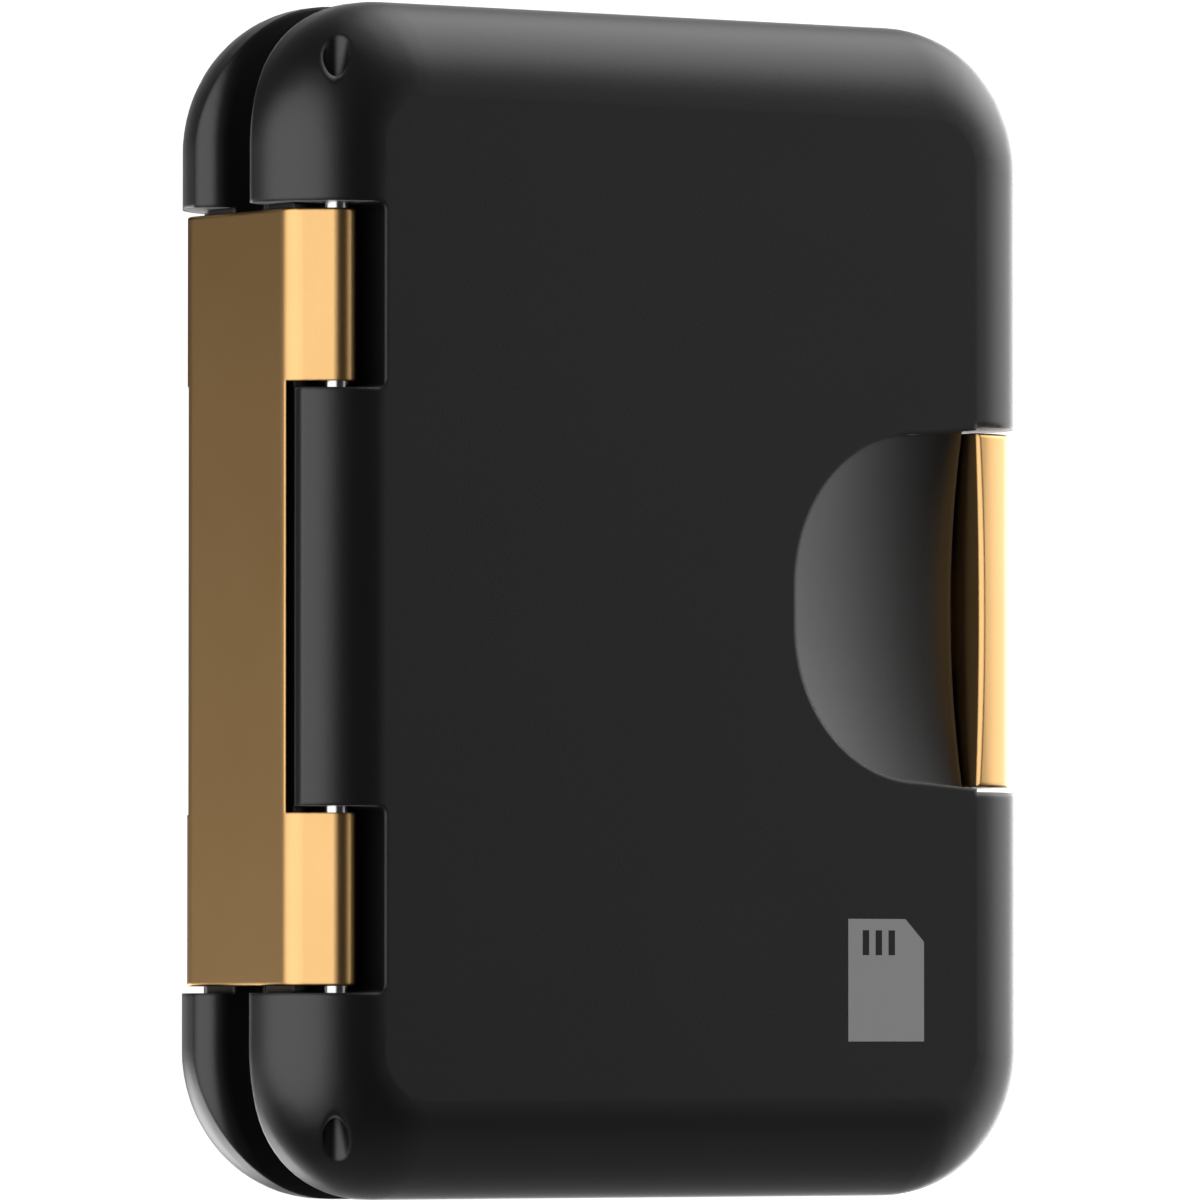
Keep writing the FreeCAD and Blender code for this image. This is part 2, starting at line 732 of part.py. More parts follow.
def rod_part(name, radius, length, middle, axis, chamfer=0.2):
    """A plain pin with chamfered ends, centred on `middle`."""
    rod = doc.addObject("Part::Cylinder", name + "_rod")
    bind(rod, Radius=radius)
    rod.Height = length
    pin = doc.addObject("Part::Chamfer", name)
    pin.Base = rod
    doc.recompute()
    ends = [i + 1 for i, edge in enumerate(rod.Shape.Edges) if edge.Closed]
    pin.Edges = [(i, chamfer, chamfer) for i in ends]
    pin.Label = name
    turn = Rotation(Vector(0, 0, 1), axis)
    pin.Placement = Placement(middle - axis * (length / 2), turn)
    return pin


def hinge_pins():
    pins = []
    length = dim("pin_end") - dim("pin_start")
    centre = (dim("pin_end") + dim("pin_start")) / 2
    for shell, side in (("front", FRONT), ("rear", REAR)):
        for name, sign in (("upper", 1), ("lower", -1)):
            middle = Vector(PIN_X, sign * centre, level(side, PIN_RISE))
            pins.append(rod_part("%s_hinge_pin_%s" % (shell, name), "Sheet.pin_radius", length, middle,
                                 Vector(0, 1, 0)))
    return pins


# ---------------------------------------------------------------------------------------------
# latch
# ---------------------------------------------------------------------------------------------
def lever_section():
    """Block in the front corner, plate down the side and round to the latch pin."""
    outer = FACE_ROUND - LATCH_PLAY
    inner = outer - dim("latch_wall")
    face_x = NOTCH_X + LATCH_PLAY
    out_x = HALF_WIDTH - LATCH_PLAY
    in_x = out_x - dim("latch_wall")
    front_centre = Vector(NOTCH_X, DEPTH - FACE_ROUND, 0)
    rear_centre = Vector(NOTCH_X, FACE_ROUND, 0)
    pin = Vector(LATCH_PIN_X, LATCH_PIN_Z, 0)
    to_pin = (pin - rear_centre).normalize()
    to_bulge = (to_pin + Vector(1, 0, 0)).normalize()
    top = Vector(face_x, front_centre.y + math.sqrt(outer ** 2 - LATCH_PLAY ** 2), 0)
    top_bulge = front_centre + Vector(1, 1, 0).normalize() * outer
    front_end = Vector(out_x, front_centre.y, 0)
    rear_start = Vector(out_x, rear_centre.y, 0)
    outer_end = rear_centre + to_pin * outer
    inner_end = rear_centre + to_pin * inner
    inner_start = Vector(in_x, rear_centre.y, 0)
    block_base = level(FRONT, dim("latch_block_base"))
    under_plate = Vector(in_x, block_base, 0)
    under_face = Vector(face_x, block_base, 0)
    return [
        Part.Arc(top, top_bulge, front_end),
        Part.LineSegment(front_end, rear_start),
        Part.Arc(rear_start, rear_centre + to_bulge * outer, outer_end),
        Part.LineSegment(outer_end, inner_end),
        Part.Arc(inner_end, rear_centre + to_bulge * inner, inner_start),
        Part.LineSegment(inner_start, under_plate),
        Part.LineSegment(under_plate, under_face),
        Part.LineSegment(under_face, top),
    ]


def latch_lever():
    body = body_named("latch_lever")
    sketch = sketch_on(body, "LeverSection", "XZ_Plane", lever_section())
    block = pad(body, sketch, 2 * LATCH_HALF, both_ways=True)
    bind(block, Length="2 * Sheet.latch_half")
    ends = (-LATCH_HALF, LATCH_HALF)
    rod_y(body, "LeverKnuckle", LATCH_PIN_X, LATCH_PIN_Z, "Sheet.latch_knuckle", ends, cut=False)
    rod_y(body, "LeverBore", LATCH_PIN_X, LATCH_PIN_Z, "Sheet.latch_pin_radius + Sheet.pin_run_play",
          (-LATCH_HALF - OVER, LATCH_HALF + OVER))
    rod_y(body, "SpringRoom", LATCH_PIN_X, LATCH_PIN_Z, "Sheet.spring_room", (-SPRING_HALF, SPRING_HALF))
    groove = LEAF_HALF + 2 * dim("leaf_play")
    rod_y(body, "NoseGroove", dim("nose_centre"), level(FRONT, dim("nose_height")),
          "Sheet.nose_radius + Sheet.nose_play", (-groove, groove))
    bow_cut(body)
    inside = (NOTCH_X, HALF_WIDTH - LATCH_PLAY - dim("latch_wall") + NEAR)
    for name, end in (("Upper", LATCH_HALF), ("Lower", -LATCH_HALF)):
        fillet(body, "LeverEnd" + name, "Sheet.latch_end_round",
               lambda e: within(e, y=(end, end), z=(FACE_ROUND - NEAR, DEPTH)) and not within(e, x=inside))
    dish_cut(body)
    return body


def bow_cut(body):
    """Hollow the wall that the thumb pushes, so that it bows inwards along its length."""
    bow = dim("latch_bow")
    radius = (LATCH_HALF ** 2 + bow ** 2) / (2 * bow)
    cutter = body.newObject("PartDesign::SubtractiveCylinder", "LeverBow")
    bind(cutter, Radius="(Sheet.latch_half ^ 2 + Sheet.latch_bow ^ 2) / (2 * Sheet.latch_bow)")
    cutter.Height = MIDDLE
    attach(cutter, body, "XY_Plane", NOTCH_X + LATCH_PLAY + bow - radius, 0, MIDDLE + OVER)
    finish_cut(body, cutter, cut=True)


def dish_cut(body):
    """A long shallow facet along the front edge of that wall, widest in the middle."""
    depth = dim("latch_dish")
    half = dim("latch_dish_half")
    radius = (half ** 2 + depth ** 2) / (2 * depth)
    cutter = body.newObject("PartDesign::SubtractiveCylinder", "LeverDish")
    bind(cutter, Radius="(Sheet.latch_dish_half ^ 2 + Sheet.latch_dish ^ 2) / (2 * Sheet.latch_dish)")
    reach = dim("latch_dish_reach")
    cutter.Height = 2 * reach
    outer = FACE_ROUND - LATCH_PLAY
    inset = LATCH_PLAY + dim("latch_bow")
    edge = Vector(NOTCH_X + inset, 0, DEPTH - FACE_ROUND + math.sqrt(outer ** 2 - inset ** 2))
    away = Vector(-1, 0, 1).normalize()
    across = Vector(1, 0, 1).normalize()
    foot = edge + away * (radius - depth) - across * reach
    attach(cutter, body, "XY_Plane", foot.x, foot.y, foot.z, Rotation(Vector(0, 1, 0), 45))
    finish_cut(body, cutter, cut=True)


def latch_pin():
    length = 2 * dim("latch_pin_half")
    return rod_part("latch_pin", "Sheet.latch_pin_radius", length, Vector(LATCH_PIN_X, 0, LATCH_PIN_Z),
                    Vector(0, 1, 0))


def latch_spring():
    """Torsion spring round the latch pin: a coil, one leg on the lever and one on the rear shell."""
    wire = dim("spring_wire") / 2
    coil = dim("spring_coil")
    height = 2 * (SPRING_HALF - LATCH_PLAY)
    axis = Vector(LATCH_PIN_X, 0, LATCH_PIN_Z)
    path = Part.makeHelix(height / SPRING_TURNS, height, coil)
    profile = Part.Wire(Part.makeCircle(wire, Vector(coil, 0, 0), Vector(0, 1, 0)))
    solid = Part.Wire(path).makePipeShell([profile], True, True)
    solid.rotate(Vector(0, 0, 0), Vector(0, 0, 1), -90)
    solid.rotate(Vector(0, 0, 0), Vector(1, 0, 0), 90)
    solid.translate(axis + Vector(0, height / 2, 0))
    start = axis + Vector(0, height / 2, -coil)
    end = axis + Vector(coil, -height / 2, 0)
    anchor = Vector(HALF_WIDTH - dim("latch_notch_floor") + dim("spring_touch"), start.y, start.z)
    knee = end + Vector(0, 0, dim("spring_knee"))
    lever_face = HALF_WIDTH - LATCH_PLAY - dim("latch_wall")
    rest = Vector(lever_face - wire - dim("spring_touch"), end.y, dim("spring_tip"))
    for a, b in ((start, anchor), (end, knee), (knee, rest)):
        solid = solid.fuse(Part.makeCylinder(wire, (b - a).Length, a, b - a))
    return group("latch_spring", [solid.fuse(Part.makeSphere(wire, knee))])


def catch_leaf():
    """Spring-steel leaf screwed into the notch wall; its nose rests in the lever's groove."""
    body = body_named("catch_leaf")
    face = LEAF_BACK + LEAF_WALL
    nose = dim("nose_radius")
    height = level(FRONT, dim("nose_height"))
    centre = dim("nose_centre")
    reach = math.sqrt(nose ** 2 - (face - centre) ** 2)
    low = Vector(face, height - reach, 0)
    high = Vector(face, height + reach, 0)
    tip = Vector(centre + nose, height, 0)
    base = level(FRONT, dim("leaf_base"))
    top = level(FRONT, LEAF_TOP)
    points = [
        high,
        Vector(face, top, 0),
        Vector(LEAF_BACK, top, 0),
        Vector(LEAF_BACK, base, 0),
        Vector(face, base, 0),
        low,
    ]
    shapes = [Part.Arc(low, tip, high)]
    shapes += [Part.LineSegment(a, b) for a, b in zip(points, points[1:])]
    sketch = sketch_on(body, "LeafSection", "XZ_Plane", shapes)
    pad(body, sketch, 2 * LEAF_HALF, both_ways=True)
    for i, y in enumerate(LEAF_SCREW_Y):
        bore_x(body, "LeafHole%d" % i, y, level(FRONT, LEAF_SCREW_RISE),
               "Sheet.leaf_screw_radius + Sheet.pin_run_play",
               (LEAF_BACK - OVER, LEAF_BACK + LEAF_WALL + OVER))
    return body


# ---------------------------------------------------------------------------------------------
# seal, trays and fasteners
# ---------------------------------------------------------------------------------------------
def lid_seal():
    body = body_named("lid_seal")
    half = dim("seal_width") / 2 - dim("seal_play")
    base = level(REAR, HALF_GAP + dim("seal_depth"))
    sketch = sketch_on(body, "SealRing", "XY_Plane", seal_outline(half) + seal_outline(-half), base)
    ring = pad(body, sketch, dim("seal_depth") + dim("seal_proud"))
    bind(ring, Length="Sheet.seal_depth + Sheet.seal_proud")
    return body


def tray(name, side, y, wells, screws, relief=None):
    """Elastomer tray between y[0] and y[1].

    Each well is (x, y, width, height, depth, notch): its centre, size and depth, and the expression
    for the radius of its finger notch.
    """
    body = body_named(name)
    outer = (CAVITY_LEFT + TRAY_PLAY, CAVITY_RIGHT - TRAY_PLAY)
    floor = level(side, MIDDLE - FLOOR)
    top = level(side, MIDDLE - TRAY_TOP)
    outline = rectangle(outer, y, dim("tray_corner"))
    sketch = sketch_on(body, name + "Outline", "XY_Plane", outline, floor)
    block = pad(body, sketch, dim("tray_height"), reverse=(side == FRONT))
    bind(block, Length="Sheet.tray_height")
    above = level(side, MIDDLE - TRAY_TOP - OVER)
    corner = dim("well_corner")
    for i, (x, well_y, width, height, depth, notch) in enumerate(wells):
        foot = well_y - height / 2
        spot = rectangle((x - width / 2, x + width / 2), (foot, well_y + height / 2), corner)
        sketch = sketch_on(body, "%sWell%d" % (name, i), "XY_Plane", spot, top)
        pocket(body, sketch, depth, reverse=(side == FRONT))
        deeper = level(side, MIDDLE - TRAY_TOP + depth + dim("finger_extra"))
        rod_z(body, "%sNotch%d" % (name, i), x, foot, notch, (above, deeper))
    head = level(side, MIDDLE - TRAY_TOP + dim("screw_head_height") + SCREW_SINK)
    boss = level(side, MIDDLE - FLOOR - dim("boss_height") - TRAY_PLAY)
    under = level(side, MIDDLE - FLOOR + OVER)
    for i, (x, screw_y) in enumerate(screws):
        rod_z(body, "%sHead%d" % (name, i), x, screw_y, "Sheet.screw_head_radius + Sheet.screw_head_play",
              (above, head))
        rod_z(body, "%sBossRoom%d" % (name, i), x, screw_y, "Sheet.boss_radius + Sheet.tray_play",
              (under, boss))
        rod_z(body, "%sShank%d" % (name, i), x, screw_y, "Sheet.screw_radius + Sheet.screw_play",
              (head, boss))
    if relief:
        x_range, y_range, rise = relief
        box(body, name + "Relief", x_range, y_range, (under, level(side, MIDDLE - FLOOR - rise)))
    return body


def card_wells(rows):
    """Two full-size card wells in each row."""
    size = (dim("well_width"), dim("well_length"), dim("well_depth"), "Sheet.finger_radius")
    return [(WELL_MIDDLE + column * dim("well_offset"), dim(row)) + size
            for row in rows for column in (-1, 1)]


def micro_wells(rows):
    """Four micro card wells in each row."""
    size = (dim("micro_width"), dim("micro_length"), dim("micro_depth"), "Sheet.micro_finger_radius")
    return [(WELL_MIDDLE + column * dim("micro_offset"), dim(row)) + size
            for row in rows for column in (-3, -1, 1, 3)]


def trays():
    end = CAVITY_END - TRAY_PLAY
    split = TRAY_PLAY / 2
    upper = [spot for spot in SCREWS if spot[1] > 0]
    lower = [spot for spot in SCREWS if spot[1] < 0]
    pan_edge = dim("scoop_half") + dim("scoop_margin") + TRAY_PLAY
    room = (SCOOP_PAN_X - TRAY_PLAY, CAVITY_RIGHT + OVER)
    pan_rise = dim("scoop_depth") + dim("scoop_wall") - FLOOR + TRAY_PLAY
    rear_wells = card_wells(("well_row_lower", "well_row_upper"))
    front_wells = card_wells(("well_row_upper",))
    small_wells = micro_wells(("micro_row_upper", "micro_row_lower"))
    return [
        tray("rear_card_tray", REAR, (-end, end), rear_wells, SCREWS),
        tray("front_sd_tray", FRONT, (split, end), front_wells, upper, (room, (-OVER, pan_edge), pan_rise)),
        tray("front_microsd_tray", FRONT, (-end, -split), small_wells, lower,
             (room, (-pan_edge, OVER), pan_rise)),
    ]


def group(name, shapes):
    feature = doc.addObject("Part::Feature", name)
    feature.Shape = Part.makeCompound(shapes)
    feature.Label = name
    feature.Placement = Placement()
    return feature


def screw_shape(shank, length, head, head_height, slot):
    """A pan-head screw along -Z, its head's underside at the origin, with a cross recess."""
    lip = head_height / 3
    tip = shank / 2
    outline = [
        (0, head_height),
        (head - lip, head_height),
        (head, head_height - lip),
        (head, 0),
        (shank, 0),
        (shank, tip - length),
        (shank - tip, -length),
        (0, -length),
        (0, head_height),
    ]
    profile = Part.makePolygon([Vector(x, 0, z) for x, z in outline])
    solid = Part.Face(profile).revolve(Vector(0, 0, 0), Vector(0, 0, 1), 360)
    half_bar = head / 2
    for turn in (0, 90):
        bar = Part.makeBox(2 * half_bar, slot, head_height, Vector(-half_bar, -slot / 2, head_height / 2))
        bar.rotate(Vector(0, 0, 0), Vector(0, 0, 1), turn)
        solid = solid.cut(bar)
    return solid


def tray_screws(name, side):
    head = dim("screw_head_height")
    reach = dim("tray_height") - head - SCREW_SINK - FLOOR
    shapes = []
    for x, y in SCREWS:
        shape = screw_shape(dim("screw_radius"), reach, dim("screw_head_radius"), head, dim("screw_slot"))
        if side == FRONT:
            shape.rotate(Vector(0, 0, 0), Vector(1, 0, 0), 180)
        shape.translate(Vector(x, y, level(side, MIDDLE - TRAY_TOP + head + SCREW_SINK)))
        shapes.append(shape)
    return group(name, shapes)


def thread_inserts(name, side):
    shapes = []
    length = dim("insert_length")
    bore = dim("screw_radius") + dim("pin_seat_play")
    mouth = MIDDLE - FLOOR - dim("boss_height")
    low = min(level(side, mouth), level(side, mouth + length))
    for x, y in SCREWS:
        foot = Vector(x, y, low)
        sleeve = Part.makeCylinder(dim("insert_radius"), length, foot)
        shapes.append(sleeve.cut(Part.makeCylinder(bore, length, foot)))
    return group(name, shapes)


def catch_screws():
    shapes = []
    shank = dim("leaf_screw_radius") - dim("pin_seat_play")
    length = LEAF_WALL + LEAF_SCREW_LENGTH - dim("leaf_play")
    for y in LEAF_SCREW_Y:
        shape = screw_shape(shank, length, dim("leaf_screw_head_radius"), dim("leaf_screw_head_height"),
                            dim("leaf_screw_slot"))
        shape.rotate(Vector(0, 0, 0), Vector(0, 1, 0), 90)
        shape.translate(Vector(LEAF_BACK + LEAF_WALL, y, level(FRONT, LEAF_SCREW_RISE)))
        shapes.append(shape)
    return group("catch_screws", shapes)


doc.recompute()
front = front_shell()
rear = rear_shell()
spine = hinge_spine()
pins = hinge_pins()
lever = latch_lever()
leaf = catch_leaf()
seal = lid_seal()
tray_parts = trays()
spring = latch_spring()
fasteners = [
    latch_pin(),
    catch_screws(),
    tray_screws("rear_tray_screws", REAR),
    tray_screws("front_tray_screws", FRONT),
    thread_inserts("rear_thread_inserts", REAR),
    thread_inserts("front_thread_inserts", FRONT),
]
doc.recompute()

PARTS = [front, rear, spine, lever, leaf, seal, spring] + pins + tray_parts + fasteners
failed = [o.Name for o in doc.Objects if "Invalid" in o.State or "Error" in o.State]
if failed:
    raise RuntimeError("failed: " + ", ".join(failed))
os.makedirs("parts", exist_ok=True)
for part in PARTS:
    shape = part.Shape
    if shape.isNull() or not shape.isValid():
        raise RuntimeError(part.Label + " has no valid shape")
    print(part.Label, len(shape.Solids), round(shape.Volume, 1))
    shape.exportStep("parts/%s.step" % part.Label)
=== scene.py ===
"""Looks of the memory card case: materials, printed mark, floor, studio light and camera."""
import json
import math

import bpy
from mathutils import Matrix, Vector


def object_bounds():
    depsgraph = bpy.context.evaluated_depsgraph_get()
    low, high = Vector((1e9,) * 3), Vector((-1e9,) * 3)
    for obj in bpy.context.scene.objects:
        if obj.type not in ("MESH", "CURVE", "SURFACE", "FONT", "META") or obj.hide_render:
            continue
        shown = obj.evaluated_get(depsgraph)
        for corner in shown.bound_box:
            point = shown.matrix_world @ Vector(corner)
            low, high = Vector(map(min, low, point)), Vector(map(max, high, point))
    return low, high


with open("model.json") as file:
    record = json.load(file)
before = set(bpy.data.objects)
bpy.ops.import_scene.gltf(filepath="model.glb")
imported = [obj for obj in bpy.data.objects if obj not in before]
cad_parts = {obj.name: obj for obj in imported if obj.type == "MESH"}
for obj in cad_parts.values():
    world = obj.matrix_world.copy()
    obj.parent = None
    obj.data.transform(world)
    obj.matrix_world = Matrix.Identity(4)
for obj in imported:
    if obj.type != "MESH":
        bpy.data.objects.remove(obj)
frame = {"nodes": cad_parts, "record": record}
cad_low, cad_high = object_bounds()
nodes = frame["nodes"]
CENTRE = (cad_low + cad_high) / 2


# ---------------------------------------------------------------------------------------------
# node helpers
# ---------------------------------------------------------------------------------------------
def shown(sockets):
    """The sockets that a node offers in its present mode."""
    return [socket for socket in sockets if socket.enabled]


class Material:
    """A material's node tree with short calls for the nodes that this script needs."""

    def __init__(self, name):
        self.material = bpy.data.materials.new(name)
        self.material.use_nodes = True
        self.tree = self.material.node_tree
        self.shader = self.tree.nodes["Principled BSDF"]

    def add(self, kind, **inputs):
        node = self.tree.nodes.new(kind)
        for name, value in inputs.items():
            self.feed(node, name.replace("_", " "), value)
        return node

    def feed(self, node, name, value):
        """Set a socket to a value, or link it to another node's output socket."""
        if isinstance(value, bpy.types.NodeSocket):
            self.tree.links.new(value, node.inputs[name])
        else:
            node.inputs[name].default_value = value

    def set(self, **inputs):
        for name, value in inputs.items():
            self.feed(self.shader, name.replace("_", " "), value)

    def place(self):
        return self.add("ShaderNodeTexCoord").outputs["Object"]

    def noise(self, scale, detail=4.0, roughness=0.5, vector=None):
        node = self.add("ShaderNodeTexNoise", Scale=scale, Detail=detail, Roughness=roughness)
        self.tree.links.new(vector or self.place(), node.inputs["Vector"])
        return node.outputs["Fac"]

    def stretched(self, x, y, z):
        """Object coordinates scaled along each axis, for grain that runs one way."""
        mapping = self.add("ShaderNodeMapping")
        mapping.inputs["Scale"].default_value = (x, y, z)
        self.tree.links.new(self.place(), mapping.inputs["Vector"])
        return mapping.outputs["Vector"]

    def span(self, value, low, high):
        """A value between 0 and 1 spread from low to high."""
        node = self.add("ShaderNodeMapRange")
        self.feed(node, "Value", value)
        node.inputs["To Min"].default_value = low
        node.inputs["To Max"].default_value = high
        return node.outputs["Result"]

    def math(self, operation, *values):
        node = self.tree.nodes.new("ShaderNodeMath")
        node.operation = operation
        for socket, value in zip(node.inputs, values):
            if isinstance(value, bpy.types.NodeSocket):
                self.tree.links.new(value, socket)
            else:
                socket.default_value = value
        return node.outputs[0]

    def ramp(self, value, stops):
        node = self.add("ShaderNodeValToRGB")
        self.tree.links.new(value, node.inputs["Fac"])
        elements = node.color_ramp.elements
        while len(elements) < len(stops):
            elements.new(1.0)
        for element, (position, colour) in zip(elements, stops):
            element.position = position
            element.color = (*colour, 1.0)
        return node.outputs["Color"]

    def bevel(self, radius):
        node = self.add("ShaderNodeBevel")
        node.samples = 6
        node.inputs["Radius"].default_value = radius
        return node.outputs["Normal"]

    def bump(self, height, strength, distance, normal=None):
        node = self.add("ShaderNodeBump", Strength=strength, Distance=distance)
        self.tree.links.new(height, node.inputs["Height"])
        if normal is not None:
            self.tree.links.new(normal, node.inputs["Normal"])
        return node.outputs["Normal"]


# Printed mark: size, cut corner and depth of print, then its contact strips, in metres.
MARK_WIDTH = 0.0082
MARK_HEIGHT = 0.0108
MARK_CORNER = 0.0053
MARK_SKIN = 0.0005
STRIP_PITCH = 0.0014
STRIP_WIDTH = 0.0007
STRIP_SHIFT = 0.0008
STRIP_REACH = 0.0020
STRIP_RISE = 0.0033
STRIP_LENGTH = 0.0022
MARK_FROM_LATCH_SIDE = 0.0185
MARK_FROM_LOWER_END = 0.0191
MARK_PLACE = Vector((cad_high.x - MARK_FROM_LATCH_SIDE, cad_low.y + MARK_FROM_LOWER_END, cad_high.z))


def card_mark(m, centre):
    """Whether a point is printed: the shape of a memory card with three contact strips left bare."""
    split = m.add("ShaderNodeSeparateXYZ")
    m.tree.links.new(m.place(), split.inputs[0])
    x = m.math("SUBTRACT", split.outputs["X"], centre.x)
    y = m.math("SUBTRACT", split.outputs["Y"], centre.y)
    sides = m.math("SUBTRACT", m.math("ABSOLUTE", x), MARK_WIDTH / 2)
    ends = m.math("SUBTRACT", m.math("ABSOLUTE", y), MARK_HEIGHT / 2)
    corner = m.math("MULTIPLY", m.math("ADD", x, y), math.sqrt(0.5))
    corner = m.math("SUBTRACT", corner, MARK_CORNER)
    depth = m.math("MAXIMUM", m.math("MAXIMUM", sides, ends), corner)
    card = m.math("LESS_THAN", depth, 0.0)
    pitch = m.math("PINGPONG", m.math("ADD", x, STRIP_SHIFT), STRIP_PITCH / 2)
    strips = m.math("LESS_THAN", pitch, STRIP_WIDTH / 2)
    across = m.math("LESS_THAN", m.math("ABSOLUTE", m.math("ADD", x, STRIP_SHIFT)), STRIP_REACH)
    along = m.math("LESS_THAN", m.math("ABSOLUTE", m.math("SUBTRACT", y, STRIP_RISE)), STRIP_LENGTH / 2)
    strips = m.math("MULTIPLY", strips, m.math("MULTIPLY", across, along))
    above = m.math("GREATER_THAN", split.outputs["Z"], centre.z - MARK_SKIN)
    return m.math("MULTIPLY", m.math("SUBTRACT", card, strips), above)


def shell_plastic(mark=None):
    """Near-black moulded polycarbonate with a very fine matt texture, and a mark printed at `mark`."""
    m = Material("shell_plastic_printed" if mark else "shell_plastic")
    grain = m.noise(5200, detail=3.0, roughness=0.6)
    clouds = m.noise(60, detail=3.0)
    black = m.ramp(clouds, [(0.3, (0.0035, 0.0035, 0.0037)), (0.7, (0.0050, 0.0050, 0.0052))])
    if mark:
        ink = m.add("ShaderNodeMix")
        ink.data_type = "RGBA"
        amount, plain, printed = shown(ink.inputs)
        m.tree.links.new(card_mark(m, mark), amount)
        m.tree.links.new(black, plain)
        printed.default_value = (0.42, 0.42, 0.42, 1.0)
        black = shown(ink.outputs)[0]
    m.set(Base_Color=black)
    m.set(Roughness=m.span(grain, 0.28, 0.38))
    m.set(Specular_IOR_Level=0.7, Sheen_Weight=0.35, Sheen_Roughness=0.30)
    m.set(Normal=m.bump(grain, 0.16, 0.00005, m.bevel(0.00050)))
    return m


def satin_brass():
    """Bead-blasted brass under clear lacquer."""
    m = Material("satin_brass")
    blast = m.noise(4200, detail=2.0, roughness=0.7)
    tone = m.noise(90, detail=4.0)
    m.set(Base_Color=m.ramp(tone, [(0.3, (0.71, 0.43, 0.175)), (0.7, (0.75, 0.46, 0.195))]))
    m.set(Metallic=1.0)
    m.set(Roughness=m.span(blast, 0.26, 0.36))
    m.set(Normal=m.bump(blast, 0.10, 0.00004, m.bevel(0.00025)))
    return m


def ground_steel():
    m = Material("ground_steel")
    lines = m.noise(30, detail=6.0, vector=m.stretched(90, 900, 90))
    m.set(Base_Color=m.ramp(lines, [(0.2, (0.62, 0.62, 0.63)), (0.8, (0.72, 0.72, 0.73))]))
    m.set(Metallic=1.0)
    m.set(Roughness=m.span(lines, 0.10, 0.22))
    m.set(Normal=m.bump(lines, 0.05, 0.00002, m.bevel(0.0001)))
    return m


def spring_steel():
    m = Material("spring_steel")
    drawn = m.noise(900, detail=5.0)
    m.set(Base_Color=m.ramp(drawn, [(0.2, (0.36, 0.37, 0.39)), (0.8, (0.46, 0.47, 0.49))]))
    m.set(Metallic=1.0)
    m.set(Roughness=m.span(drawn, 0.22, 0.38))
    m.set(Normal=m.bump(drawn, 0.06, 0.00002))
    return m


def plated_screw():
    m = Material("plated_screw")
    wear = m.noise(1500, detail=5.0)
    m.set(Base_Color=m.ramp(wear, [(0.3, (0.30, 0.31, 0.33)), (0.7, (0.40, 0.41, 0.43))]))
    m.set(Metallic=1.0)
    m.set(Roughness=m.span(wear, 0.25, 0.42))
    m.set(Normal=m.bump(wear, 0.08, 0.00003, m.bevel(0.00008)))
    return m


def silicone(name, dark, light):
    m = Material(name)
    skin = m.noise(2600, detail=3.0, roughness=0.65)
    m.set(Base_Color=m.ramp(m.noise(70, detail=4.0), [(0.3, dark), (0.7, light)]))
    m.set(Roughness=m.span(skin, 0.62, 0.78))
    m.set(Specular_IOR_Level=0.35)
    m.set(Normal=m.bump(skin, 0.20, 0.00006, m.bevel(0.00035)))
    return m


FINISHES = {
    "shell": shell_plastic(),
    "brass": satin_brass(),
    "steel_pin": ground_steel(),
    "spring_steel": spring_steel(),
    "screw": plated_screw(),
    "tray": silicone("tray_silicone", (0.030, 0.031, 0.033), (0.040, 0.041, 0.043)),
    "seal": silicone("seal_silicone", (0.012, 0.012, 0.012), (0.018, 0.018, 0.018)),
}
for part in frame["record"]["subparts"]:
    mesh = nodes[part["node"]].data
    mesh.materials.clear()
    mesh.materials.append(FINISHES[part["material_slot"]].material)
front = nodes["front_shell"]
front.data.materials[0] = shell_plastic(front.matrix_world.inverted() @ MARK_PLACE).material


# ---------------------------------------------------------------------------------------------
# floor, light and camera
# ---------------------------------------------------------------------------------------------
FLOOR_REACH = 6.0
FLOOR_GAP = 0.0002
FLOOR_GLOW = 0.9


def floor():
    """Pale paper just under the case.  It can be seen through from below, so that the rear face shows."""
    level = cad_low.z - FLOOR_GAP
    corners = [(x * FLOOR_REACH, y * FLOOR_REACH, level) for x, y in ((-1, -1), (1, -1), (1, 1), (-1, 1))]
    mesh = bpy.data.meshes.new("floor")
    mesh.from_pydata(corners, [], [(0, 1, 2, 3)])
    plane = bpy.data.objects.new("floor", mesh)
    bpy.context.scene.collection.objects.link(plane)
    m = Material("floor_paper")
    m.set(Base_Color=(0.80, 0.80, 0.80, 1.0), Roughness=0.9, Specular_IOR_Level=0.1)
    m.set(Emission_Color=(1.0, 1.0, 1.0, 1.0), Emission_Strength=FLOOR_GLOW)
    sides = m.add("ShaderNodeMixShader")
    m.tree.links.new(m.add("ShaderNodeNewGeometry").outputs["Backfacing"], sides.inputs[0])
    m.tree.links.new(m.shader.outputs["BSDF"], sides.inputs[1])
    m.tree.links.new(m.add("ShaderNodeBsdfTransparent").outputs["BSDF"], sides.inputs[2])
    m.tree.links.new(sides.outputs["Shader"], m.tree.nodes["Material Output"].inputs["Surface"])
    mesh.materials.append(m.material)
    plane.visible_glossy = False


def aim(thing, place, target):
    """Put a camera at `place`, facing `target`, with the case's length upright in its picture."""
    up = Vector((0, 1, 0))
    back = (place - target).normalized()
    right = up.cross(back).normalized()
    turn = Matrix((right, back.cross(right), back)).transposed().to_4x4()
    thing.matrix_world = Matrix.Translation(place) @ turn


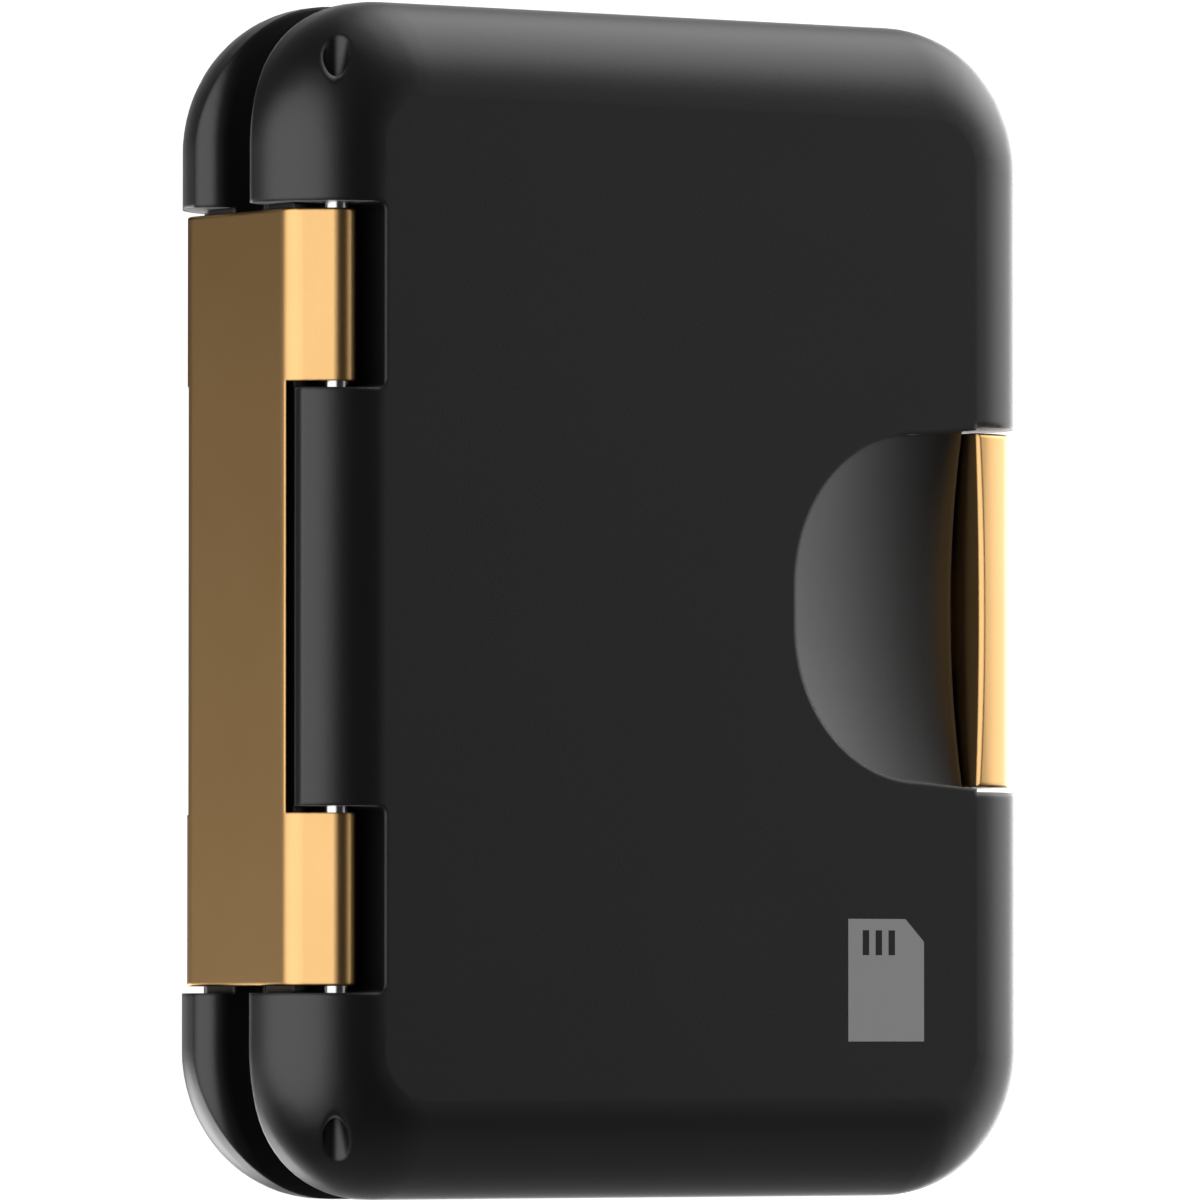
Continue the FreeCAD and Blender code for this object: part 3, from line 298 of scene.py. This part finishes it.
# Broad lights of the studio: direction, half angle of full glow, half angle of its soft edge, strength.
PANELS = [
    # hinge side: the spine's ears and the shells' left edges
    ((-0.972, 0.0, 0.235), 30.0, 53.0, 1.62),
    # behind the hinge side, low: the spine's flat back, lighter towards its lower end
    ((-0.532, -0.310, -0.789), 4.0, 24.0, 0.85),
    # latch side: the right rim
    ((0.998, 0.0, -0.060), 15.0, 45.0, 1.50),
    # behind the latch side: the edge of the rim and the lever
    ((0.788, 0.0, -0.616), 6.0, 24.0, 5.5),
    # in front of the latch side: the thumb scoop
    ((0.760, 0.140, 0.640), 2.0, 25.0, 0.45),
    # high on the latch side: the upper rim
    ((0.70, 0.71, 0.05), 1.0, 47.0, 2.10),
    # low on the latch side: a faint fill
    ((0.50, -0.85, 0.0), 30.0, 60.0, 0.12),
    # behind and below: the lower left rim
    ((-0.03, -0.38, -0.92), 6.0, 24.0, 3.6),
]
DIM_ROOM = 0.03
BACKDROP = 1.0


def studio():
    """A dim room with a few broad soft lights, all of them procedural."""
    sky = bpy.data.worlds.new("studio")
    bpy.context.scene.world = sky
    sky.use_nodes = True
    tree = sky.node_tree
    direction = tree.nodes.new("ShaderNodeTexCoord").outputs["Generated"]
    total = None
    for centre, inner, outer, strength in PANELS:
        dot = tree.nodes.new("ShaderNodeVectorMath")
        dot.operation = "DOT_PRODUCT"
        tree.links.new(direction, dot.inputs[0])
        dot.inputs[1].default_value = Vector(centre).normalized()
        glow = tree.nodes.new("ShaderNodeMapRange")
        glow.interpolation_type = "SMOOTHSTEP"
        tree.links.new(dot.outputs["Value"], glow.inputs["Value"])
        glow.inputs["From Min"].default_value = math.cos(math.radians(outer))
        glow.inputs["From Max"].default_value = math.cos(math.radians(inner))
        added = tree.nodes.new("ShaderNodeMath")
        added.operation = "MULTIPLY_ADD"
        tree.links.new(glow.outputs["Result"], added.inputs[0])
        added.inputs[1].default_value = strength
        if total is None:
            added.inputs[2].default_value = DIM_ROOM
        else:
            tree.links.new(total, added.inputs[2])
        total = added.outputs[0]
    seen = tree.nodes.new("ShaderNodeLightPath").outputs["Is Camera Ray"]
    strength = tree.nodes.new("ShaderNodeMix")
    amount, light, backdrop = shown(strength.inputs)
    tree.links.new(seen, amount)
    tree.links.new(total, light)
    backdrop.default_value = BACKDROP
    background = tree.nodes["Background"]
    background.inputs["Color"].default_value = (1.0, 1.0, 1.0, 1.0)
    tree.links.new(strength.outputs[0], background.inputs["Strength"])


CAMERA_TURN = math.radians(34.38)
CAMERA_DISTANCE = 1.1828
CAMERA_DROP = 0.0372
CAMERA_LENS = 402.7
AIM_LEFT = 0.0004
AIM_RISE = 0.0006


def camera():
    """Long lens, turned to the hinge side and a little below the middle of the case's length."""
    data = bpy.data.cameras.new("camera")
    data.sensor_width = 36.0
    data.lens = CAMERA_LENS
    data.clip_end = 20.0
    view = bpy.data.objects.new("camera", data)
    bpy.context.scene.collection.objects.link(view)
    back = Vector((-math.sin(CAMERA_TURN), 0, math.cos(CAMERA_TURN)))
    right = Vector((math.cos(CAMERA_TURN), 0, math.sin(CAMERA_TURN)))
    place = CENTRE + back * CAMERA_DISTANCE + Vector((0, -CAMERA_DROP, 0))
    aim(view, place, CENTRE - right * AIM_LEFT + Vector((0, AIM_RISE, 0)))
    bpy.context.scene.camera = view


floor()
studio()
camera()
bpy.context.scene.view_settings.view_transform = "Standard"
